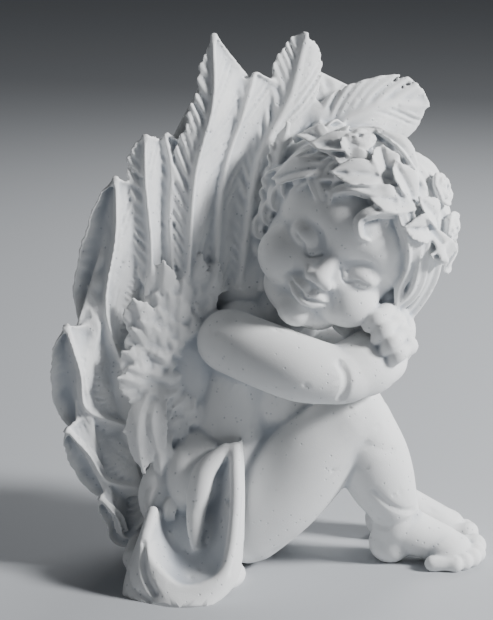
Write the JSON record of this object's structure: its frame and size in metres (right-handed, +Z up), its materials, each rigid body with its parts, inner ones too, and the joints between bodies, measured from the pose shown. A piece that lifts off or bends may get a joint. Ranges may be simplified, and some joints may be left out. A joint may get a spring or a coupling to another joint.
{
  "type": "guardian angel figurine",
  "caption": "Winged child asleep with its head on folded arms, seated with knees drawn up, leaf wreath in curly hair, feather fan behind, cast in one piece.",
  "frame": {"origin": "middle of the bounding box in plan, on the surface that the figurine stands on", "axes": "+X the way the knees and feet point, +Y away from the side with the draped hip, +Z up"},
  "size_m": [0.195, 0.123, 0.238],
  "materials": {
    "plaster": "matt white casting plaster, finely pitted"
  },
  "bodies": {
    "root": {"angel": "plaster"}
  },
  "joints": []
}
